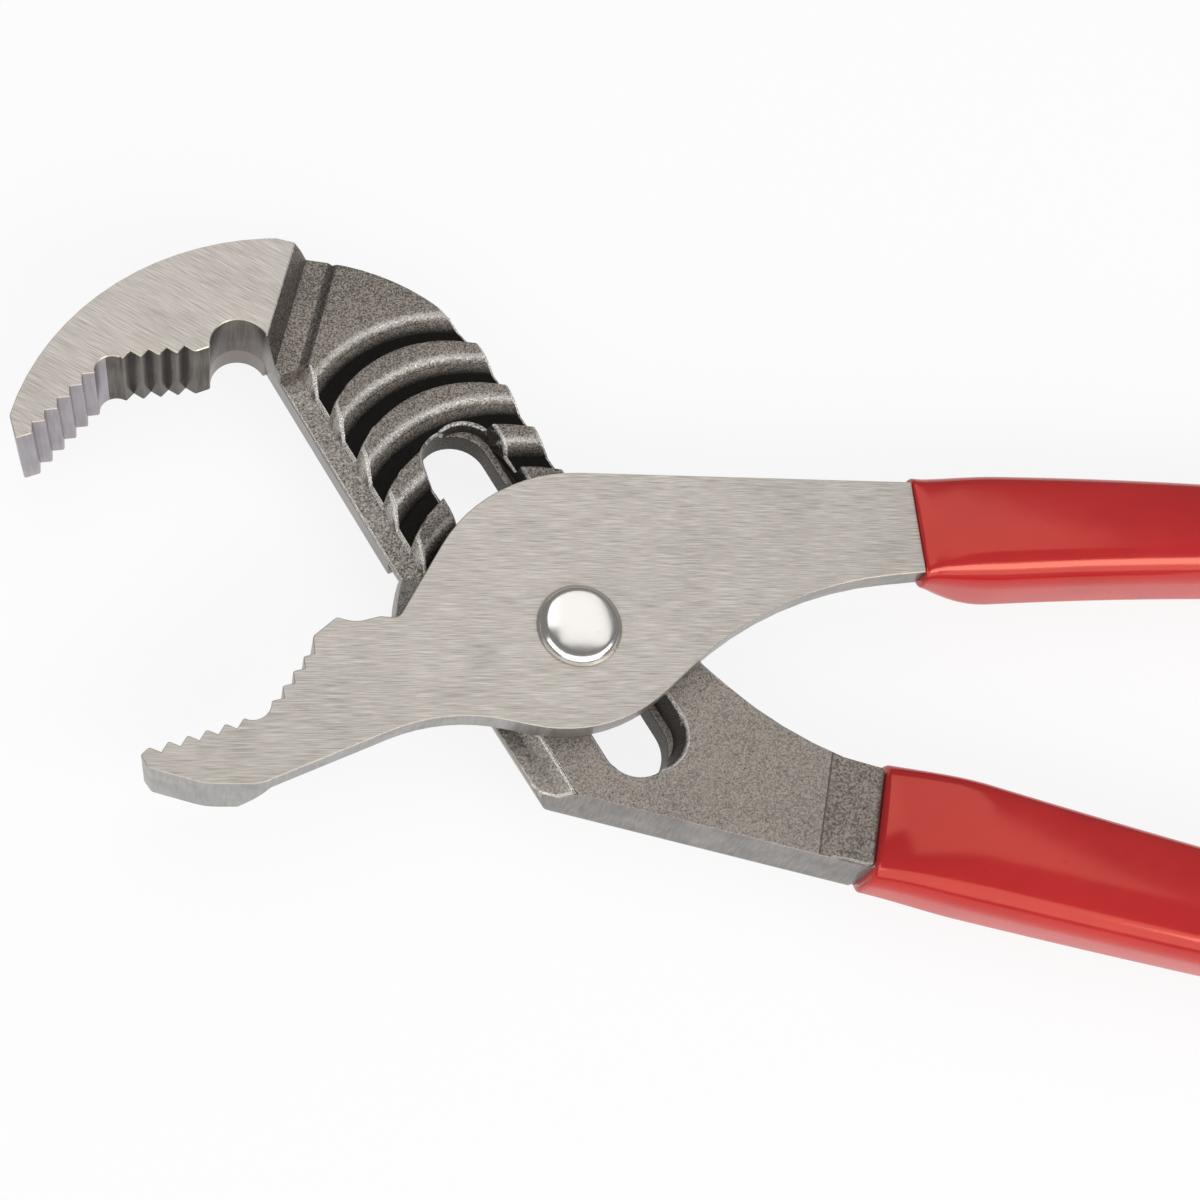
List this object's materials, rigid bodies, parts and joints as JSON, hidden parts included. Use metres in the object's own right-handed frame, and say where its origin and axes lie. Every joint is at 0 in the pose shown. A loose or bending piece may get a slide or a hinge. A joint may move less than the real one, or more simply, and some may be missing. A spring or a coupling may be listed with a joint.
{
  "type": "water pump pliers",
  "caption": "Adjustable groove-joint pliers: toothed offset jaws on two forged arms, a slotted neck with curved locking grooves, a domed pivot bolt and dipped grips.",
  "frame": {"origin": "on the pivot bolt's axis, at the outer face of the nut on the back", "axes": "+X along the tongue arm's straight top edge towards its grip, +Z along the pivot from the nut to the domed head, +Y towards the upper jaw"},
  "size_m": [0.2547, 0.1379, 0.0214],
  "materials": {
    "ground_steel": "ground and brushed steel, grain along the handle",
    "forged_steel": "dark pebbled forging with a brushed jaw face",
    "chrome": "polished",
    "nut_steel": "satin",
    "red_vinyl": "smooth dipped vinyl, soft gloss"
  },
  "bodies": {
    "channel": {"channel_arm": "forged_steel", "lower_grip": "red_vinyl"},
    "pivot": {"pivot_bolt": "chrome", "pivot_nut": "nut_steel"},
    "tongue": {"tongue_arm": "ground_steel", "upper_grip": "red_vinyl"}
  },
  "joints": [
    {"name": "groove_shift", "type": "slide", "parent": "channel", "child": "pivot", "axis": [0.4695, -0.8829, 0], "range_m": [-0.0356, 0.0178]},
    {"name": "jaw_pivot", "type": "hinge", "parent": "pivot", "child": "tongue", "pos_m": [0, 0, 0.01], "axis": [0, 0, 1], "range_deg": [-15.5, 60]}
  ]
}
